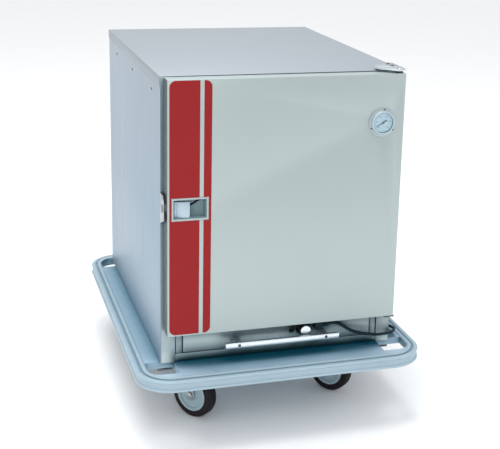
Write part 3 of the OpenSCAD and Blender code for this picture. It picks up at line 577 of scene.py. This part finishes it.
def make_plug(at):
    """Moulded plug body along +Y, with a waist, finger ribs and a flat front."""
    place = facing(at, (0, 1, 0))
    profile = [(0, 0), (5.2, 0), (5.6, 2)]
    for i in range(4):
        z, r = 3 + 4 * i, 6 + 0.7 * i
        profile += [(r, z), (r + 0.6, z + 0.6), (r + 0.6, z + 2.2), (r, z + 2.8)]
    profile += [(9, 19), (11.5, 21), (12.6, 24), (12.2, 30), (12.6, 37), (12.4, 41), (11.4, 42), (0, 42)]

    def flatten(point, turn):
        return Vector((point.x, point.y * (0.86 if point.z > 18 * MM else 1), point.z))

    body = lathe("plug_body", profile, place, "heat_module", "cord_rubber", "plug", shape=flatten)
    work = bmesh.new()
    for x in (-6.4, 6.4):
        made = bmesh.ops.create_cube(work, size=1, matrix=Matrix.Diagonal((1.6, 6.4, 18, 1)))
        bmesh.ops.translate(work, verts=made["verts"], vec=(x, -3.4, 51))
    made = bmesh.ops.create_cone(work, segments=20, radius1=2.4, radius2=2.4, depth=20, cap_ends=True)
    bmesh.ops.translate(work, verts=made["verts"], vec=(0, 5, 51.5))
    bmesh.ops.bevel(work, geom=work.edges[:], offset=0.35, segments=2, profile=0.5, affect="EDGES")
    bmesh.ops.transform(work, matrix=place @ Matrix.Scale(MM, 4), verts=work.verts)
    pins = add_piece("plug_pins", finish_mesh("plug_pins", work), "heat_module", "polished")
    return body, pins


def make_tie():
    """Strap round the middle of the hank."""
    half_x, half_z = HANK_R + CORD_D / 2 + 0.6 * MM, HANK_LEVELS * CORD_D / 2 + 0.3 * MM
    place = Matrix.Translation((HANK_X, HANK_Y + HANK_RUN / 2, deck_top + HANK_LEVELS * CORD_D / 2))
    place = place @ Matrix.Rotation(math.pi / 2, 4, "X")
    band = [(-0.6, -4), (0, -4.5), (0.6, -4), (0.6, 4), (0, 4.5), (-0.6, 4)]
    path = round_path(half_x, half_z - 0.4 * MM, [4 * MM] * 4)
    return ring("hank_tie", path, band, place, "heat_module", "cord_rubber")


plug_body, plug_pins = make_plug(cord_line[-1])
hank_tie = make_tie()


# ---- Deck and bumper ----

LEVEL_DECK = Matrix.Translation((0, 0, deck_top))
# Corner radii of the deck and the bumper, and half the width of a corner opening.
DECK_R = 73 * MM
BUMPER_R = 90 * MM
OPENING = 37 * MM


def opening_paths():
    """The four corner openings, each with its outer corner rounded."""
    paths = []
    for sx, sy in ((1, 1), (-1, 1), (-1, -1), (1, -1)):
        y = back_y - 15 * MM if sy > 0 else front_y - 25 * MM
        radii = [32 * MM if corner == (sx, sy) else 1 * MM
                 for corner in ((1, 1), (-1, 1), (-1, -1), (1, -1))]
        paths.append(round_path(OPENING, OPENING, radii, (sx * side_x, y), 8))
    return paths


def make_deck():
    """Deck sheet with rounded edges, its turned-down rim and the walls of its openings."""
    rim = round_path(deck_high.x, deck_high.y, [DECK_R] * 4, steps=24)
    openings = opening_paths()
    outlines = [[tuple(p) for p, out in rim]]
    outlines += [[tuple(p) for p, out in reversed(path)] for path in openings]
    plate("deck_top", outlines, 3 * MM, 1.2 * MM, LEVEL_DECK, "cabinet", "deck_sheet", "deck_pan")
    skirt = [(-2.5, -2), (-0.05, -2), (-0.05, -25.4), (-0.6, -26), (-1.9, -26), (-2.5, -25.4)]
    ring("deck_rim", rim, skirt, LEVEL_DECK, "cabinet", "deck_sheet")
    wall = [(0.05, -1.4), (1.5, -2.8), (1.5, -18.6), (1.1, -19), (0.4, -19), (0.05, -18.6)]
    for number, path in enumerate(openings):
        ring(f"deck_opening_{number + 1}", path, wall, LEVEL_DECK, "cabinet", "deck_sheet")


def make_bumper():
    """Vinyl bumper: a hollow face between two lips, a groove, and a flange on the deck's edge."""
    low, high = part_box("bumper")
    lower_lip = arc(-4, 4, 4, -90, 75, 8)
    hollow = [(-3.6, 9), (-4.2, 11), (-4.2, 20), (-3.4, 22.6), (-1.4, 23.8)]
    upper_lip = arc(-3.6, 26.4, 3.6, -30, 90, 7)
    groove = [(-10.4, 30.1), (-11.8, 29.4), (-12.8, 27), (-14, 26.2), (-16, 26.2), (-17, 27.2)]
    flange = [(-17.6, 30), (-18.6, 31.6), (-20.6, 32.4), (-24, 32.4), (-26.8, 31.6), (-28.4, 30.2)]
    back = [(-28, 29.4), (-17.4, 29), (-17, 28), (-17, 0.6), (-16.4, 0)]
    profile = lower_lip + hollow + upper_lip + groove + flange + back
    path = round_path(high.x, high.y, [BUMPER_R] * 4, steps=28)
    place = Matrix.Translation((0, 0, low.z))
    ring("bumper_extrusion", path, profile, place, "cabinet", "bumper_vinyl", "bumper", angle=50)


make_deck()
make_bumper()


# ---- Screws ----

def screw_places(node):
    """Head radius and place of each screw of a node.

    A head looks along -Y, or up if its screw is longer in Z than the head is wide.
    """
    found = []
    for low, high in islands(node):
        middle = (low + high) / 2
        radius = (high.x - low.x) / 2
        if high.z - low.z > 2.1 * radius:
            base = Vector((middle.x, middle.y, high.z - 0.5 * radius))
            found.append((radius, Matrix.Translation(base)))
        else:
            base = Vector((middle.x, low.y + 0.6 * radius, middle.z))
            found.append((radius, facing(base, (0, -1, 0))))
    return found


def make_screws(node):
    """Domed heads with a cross recess, for every screw of a node."""
    work = bmesh.new()
    for radius, place in screw_places(node):
        recess = 0.45 * radius

        def crossed(point, turn):
            flat = math.hypot(point.x, point.y)
            if flat > 1.1 * recess:
                return point
            reach = 0.35 + 0.65 * math.cos(2 * turn) ** 4
            return Vector((point.x * reach, point.y * reach, point.z))

        dome = [(radius * math.cos(a), 0.58 * radius * math.sin(a)) for a in (0.0, 0.3, 0.6, 0.85, 1.05)]
        profile = [(0, 0.12 * radius), (recess, 0.16 * radius), (recess * 1.02, 0.54 * radius)]
        turned(work, profile + dome[::-1], place, 32, crossed)
    bmesh.ops.remove_doubles(work, verts=work.verts, dist=1e-6)
    name = node + "_heads"
    add_piece(name, finish_mesh(name, work, 40), body_of[node], slot_of[node], node)


for fastener in ("cabinet_screws", "thermometer_screws", "handle_screws"):
    make_screws(fastener)


# ---- Latch ----

def make_latch():
    """Rounded bezel round a pressed pocket, its dull grey standing for the pocket's painted shade and dark
    reflection.
    """
    low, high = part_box("latch_housing")
    centre = box_centre("latch_housing")
    place = facing((centre.x, door_face, centre.z), (0, -1, 0))
    path = round_path((high.x - low.x) / 2, (high.z - low.z) / 2, [6 * MM] * 4, steps=8)
    bezel = [(-0.3, -0.2), (0, 0.6), (-0.6, 1.5), (-2, 2), (-3.4, 1.8), (-4.4, 1.2),
             (-5, 0), (-5, -2), (-3, -1)]
    ring("latch_bezel", path, bezel, place, "door", "door_sheet", angle=60)
    pocket = [(-4.6, 0), (-5.2, -0.6), (-5.6, -22), (-6.6, -25.5), (-9.5, -27)]
    ring("latch_pocket", path, pocket, place, "door", "pocket_grey", "latch_housing",
         angle=60, floor=True)


make_latch()


# ---- Thermometer ----

# Degrees: where the scale begins, and how far it runs clockwise.
GAUGE_LOW, GAUGE_SWEEP = 225, 270


def dial_numbers(work, place, radius):
    """Generic numbers round the dial, from 40 to 240."""
    for i in range(6):
        text = bpy.data.curves.new("dial_number", "FONT")
        text.body = str(40 + 40 * i)
        text.size = 5 * MM
        text.align_x = "CENTER"
        text.align_y = "CENTER"
        mesh = bpy.data.meshes.new_from_object(bpy.data.objects.new("dial_number", text))
        a = math.radians(GAUGE_LOW - GAUGE_SWEEP * i / 5)
        mesh.transform(place @ Matrix.Translation((radius * math.cos(a), radius * math.sin(a), 0)))
        work.from_mesh(mesh)


def make_thermometer():
    """Flange in the door's steel, bright bezel, and printed scale on the dial."""
    centre = box_centre("thermometer_dial")
    place = facing((centre.x, door_face, centre.z), (0, -1, 0))
    flange = [(28, 0), (36, 0), (36.8, 0.4), (37, 1), (36.6, 1.5), (35.5, 1.7), (30, 2.1), (28, 2.1)]
    lathe("gauge_flange", flange, place, "door", "door_sheet", steps=96)
    bezel = [(25.6, 1.2), (25.5, 6.8), (26, 8.2), (27.2, 8.6), (28.6, 8.2), (30, 6.6),
             (31.2, 3.8), (31.6, 2)]
    lathe("gauge_bezel", bezel, place, "door", "aluminium", "thermometer_case", steps=96, angle=60)
    cup = [(25.6, 1.3), (25.6, 0.4), (0, 0.4)]
    lathe("gauge_cup", cup, place, "door", "pocket_grey", steps=64)
    work = bmesh.new()
    for i in range(51):
        a = math.radians(GAUGE_LOW - GAUGE_SWEEP * i / 50)
        length = 3.2 if i % 10 == 0 else 2.2 if i % 5 == 0 else 1.4
        tick = Matrix.Rotation(a, 4, "Z") @ Matrix.Translation(((23.4 - length / 2) * MM, 0, 1.86 * MM))
        size = Matrix.Diagonal((length * MM, (0.5 if i % 5 == 0 else 0.3) * MM, 0.1 * MM, 1))
        bmesh.ops.create_cube(work, size=1, matrix=place @ tick @ size)
    dial_numbers(work, place @ Matrix.Translation((0, 0, 1.87 * MM)), 16.5 * MM)
    add_piece("dial_scale", finish_mesh("dial_scale", work), "door", "needle")


make_thermometer()


# ---- Controls ----

def make_knob():
    """Fluted black knob with a spun metal cap."""
    centre = box_centre("thermostat_knob")
    place = facing((centre.x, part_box("thermostat_knob")[1].y, centre.z), (0, -1, 0))

    def fluted(point, turn):
        grip = 11 * MM < point.z < 25.5 * MM
        wave = 1 - 0.035 * (1 + math.cos(20 * turn)) if grip else 1
        return Vector((point.x * wave, point.y * wave, point.z))

    profile = [(3.1, 0), (19.4, 0), (20, 0.6), (20, 2.6), (19.2, 3.4), (17.4, 5), (16.4, 8), (16.2, 11),
               (16, 11.4), (15.8, 18), (15.6, 25), (15.4, 25.6), (14.8, 26.6), (13.4, 27), (13.2, 26.6)]
    lathe("knob_body", profile, place, "knob", "knob_black", "thermostat_knob", steps=120, shape=fluted)
    cap = [(13.3, 26.2), (13.2, 26.9), (12.4, 27.2), (6, 27), (2, 26.9), (0, 26.9)]
    lathe("knob_cap", cap, place, "knob", "polished", steps=64)


def make_gland():
    """Ribbed, tapered sleeve on the gland's block."""
    low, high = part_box("cord_gland")
    length, height = 20 * MM, 22 * MM
    work = bmesh.new()
    size = Matrix.Diagonal((length, high.y - low.y, height, 1))
    block = bmesh.ops.create_cube(work, size=1, matrix=size)
    middle = Vector((low.x + length / 2, (low.y + high.y) / 2, (low.z + high.z) / 2))
    bmesh.ops.translate(work, verts=block["verts"], vec=middle)
    bmesh.ops.bevel(work, geom=work.edges[:], offset=2 * MM, segments=3, profile=0.5, affect="EDGES")
    mesh = finish_mesh("gland_block", work)
    add_piece("gland_block", mesh, "heat_module", "cord_rubber", "cord_gland")
    profile = [(0, 0), (8, 0), (8, 3)]
    for i in range(4):
        z, r = 4 + 4.2 * i, 7.6 - 0.6 * i
        profile += [(r - 0.8, z), (r, z + 0.6), (r - 0.1, z + 2.6), (r - 0.9, z + 3.2)]
    profile += [(4.8, 21.5), (4.4, 23.4), (4, 24)]
    place = facing((low.x + length, cord_line[0].y, cord_line[0].z), (1, 0, 0))
    lathe("gland_sleeve", profile, place, "heat_module", "cord_rubber", steps=40)


make_knob()
make_gland()


# ---- Wheels ----

def mirrored(half):
    """A profile and its mirror image, so that both faces of a wheel are alike."""
    return half + [(r, -h) for r, h in reversed(half)]


def make_wheel(corner):
    """Hub with a raised rim, a dished web and a boss, and a tyre with shallow grooves."""
    body = "wheel_" + corner
    place = facing(box_centre("tyre_" + corner), joint_of[body]["axis"])
    boss = [(6.2, 15.6), (7, 16.6), (10, 17), (13, 16.8), (15, 14.5), (17, 12)]
    dish = [(19, 11.2), (33, 11), (36, 12), (37.6, 15)]
    rim = [(38.6, 17), (40, 17.6), (43.6, 17.5), (45, 16.8), (45.4, 15.4)]
    face = mirrored((boss + dish + rim)[::-1])
    lathe("hub_cast_" + corner, face, place, body, "hub_grey", "hub_" + corner, steps=96)
    half = [(45.3, 14.6), (47, 15.2)] + arc(56.5, 9, 7, 78, 14, 7)
    for h in (6.5, 2.2):
        half += [(63.5, h + 0.8), (62.6, h + 0.4), (62.6, h - 0.4), (63.5, h - 0.8)]
    lathe("tyre_tread_" + corner, mirrored(half), place, body, "tyre_black", "tyre_" + corner, steps=120)


for wheel in ("front_left", "front_right", "rear_left", "rear_right"):
    make_wheel(wheel)


# ---- Door seal ----

def make_gasket():
    """Bulb seal in a flat carrier round the door's back."""
    low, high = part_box("door_gasket")
    centre = (low + high) / 2
    place = facing((centre.x, low.y, centre.z), (0, -1, 0))
    path = round_path((high.x - low.x) / 2, (high.z - low.z) / 2, [4 * MM] * 4, steps=6)
    carrier = [(-10, 0), (-0.1, 0), (-0.1, -1.2), (-1.2, -1.6)]
    bulb = [(u, -v) for u, v in arc(-5, 2.4, 3.2, -20, 200, 12)]
    ring("door_seal", path, carrier + bulb + [(-8.8, -1.6), (-10, -1.2)], place, "door", "gasket_rubber",
         "door_gasket", angle=50)


make_gasket()


# ---- Door skin and hinges ----

def make_door_skin():
    """The door's outer sheet, apart from the two upright edges, which are darker strips of painted shade and dark
    reflection.
    """
    for name, upright, slot, replaced in (("door_face", False, "door_sheet", ["door_skin"]),
                                          ("door_edges", True, "frame_steel", [])):
        work = rounded("door_skin", 0.7 * MM)
        work.normal_update()
        others = [f for f in work.faces if (abs(f.normal.x) > 0.8) != upright]
        bmesh.ops.delete(work, geom=others, context="FACES")
        add_piece(name, finish_mesh(name, work), "door", slot, *replaced)


def make_hinges():
    """Bright upper plate and dark lower angle, each with its pin; the lower angle's dark steel is painted shade
    under the door.
    """
    middle = box_centre("hinge_brackets").z
    for name, upper, slot, replaced in (("hinge_plate", True, "polished", ["hinge_brackets"]),
                                        ("hinge_angle", False, "screw_steel", [])):
        work = rounded("hinge_brackets", 0.8 * MM)
        others = [v for v in work.verts if (v.co.z > middle) != upper]
        bmesh.ops.delete(work, geom=others, context="VERTS")
        add_piece(name, finish_mesh(name, work), "cabinet", slot, *replaced)


make_door_skin()
make_hinges()


# ---- The other pieces ----

# Edge radius in millimetres of each piece that keeps its CAD shape.
ROUNDED = {
    "side_panels": 0.5, "back_panel": 0.5, "top_panel": 0.7, "inner_liner": 0.5,
    "front_frame": 0.6, "bottom_pan": 0.6, "module_runners": 0.4, "tray_slides": 0.5,
    "base_frame": 1.0, "caster_plates": 0.7, "rear_caster_forks": 0.7, "caster_bolts": 0.5,
    "fork_left": 0.7, "fork_right": 0.7, "strike_bracket": 0.6, "door_liner": 0.5,
    "latch_bolt": 1.2, "latch_paddle": 0.8, "module_panel": 0.6, "module_chassis": 0.5,
    "water_pan": 0.5, "fan_motor": 1.0, "fan_wheel": 0.3, "handle_bar": 1.4,
    "handle_standoffs": 1.0, "thermostat_body": 1.0, "power_switch": 0.7, "door_bushings": 0.4,
    "thermometer_pointer": 0.1,
}
# The paddle is duller than the polished pieces it is grouped with.
DULLER = {"latch_paddle": "aluminium"}
for node, width in ROUNDED.items():
    refined(node, width * MM, DULLER.get(node, slot_of[node]))
for node, piece in nodes.items():
    if not piece.hide_render:
        dress(piece, slot_of[node])


# ---- Floor, backdrop and light ----

def make_floor():
    """Wide pale floor, faintly mottled."""
    bpy.ops.mesh.primitive_plane_add(size=40)
    floor = bpy.context.object
    floor.name = "floor"
    f = Finish("floor", 0.0, 0.7)
    pale = linear((252, 252, 252))
    f.colour(f.mix(f.span(f.noise(4, 3), 0, 1), pale, [c * 0.985 for c in pale]))
    floor.data.materials.append(f.material)


def area_light(name, position, target, size, power, colour):
    data = bpy.data.lights.new(name, "AREA")
    data.shape = "DISK"
    data.size = size
    data.energy = power
    data.color = colour
    light = bpy.data.objects.new(name, data)
    light.location = position
    light.rotation_euler = (Vector(target) - Vector(position)).to_track_quat("-Z", "Y").to_euler()
    bpy.context.scene.collection.objects.link(light)


def make_world():
    """Studio dome, brightest overhead."""
    world = bpy.data.worlds.new("studio")
    world.use_nodes = True
    tree = world.node_tree
    place = tree.nodes.new("ShaderNodeTexCoord")
    split = tree.nodes.new("ShaderNodeSeparateXYZ")
    height = tree.nodes.new("ShaderNodeMapRange")
    for socket, value in (("From Min", 0), ("From Max", 1), ("To Min", 0.5), ("To Max", 1.15)):
        height.inputs[socket].default_value = value
    tree.links.new(place.outputs["Generated"], split.inputs["Vector"])
    tree.links.new(split.outputs["Z"], height.inputs["Value"])
    tree.links.new(height.outputs["Result"], tree.nodes["Background"].inputs["Strength"])
    tree.nodes["Background"].inputs["Color"].default_value = (0.97, 0.985, 1, 1)
    bpy.context.scene.world = world


def make_light():
    """Soft studio light: the dome, a large light overhead, and two from the front."""
    make_world()
    middle = (0, 0, 0.55)
    area_light("top", (-0.5, 0.2, 4.2), middle, 3.0, 110, (1, 1, 1))
    area_light("key", (-1.6, -3.6, 2.6), middle, 2.4, 40, (1, 0.99, 0.97))
    area_light("fill", (3.4, -2.2, 1.8), middle, 2.5, 16, (0.95, 0.98, 1))


make_floor()
make_light()
bpy.context.scene.view_settings.view_transform = "Standard"
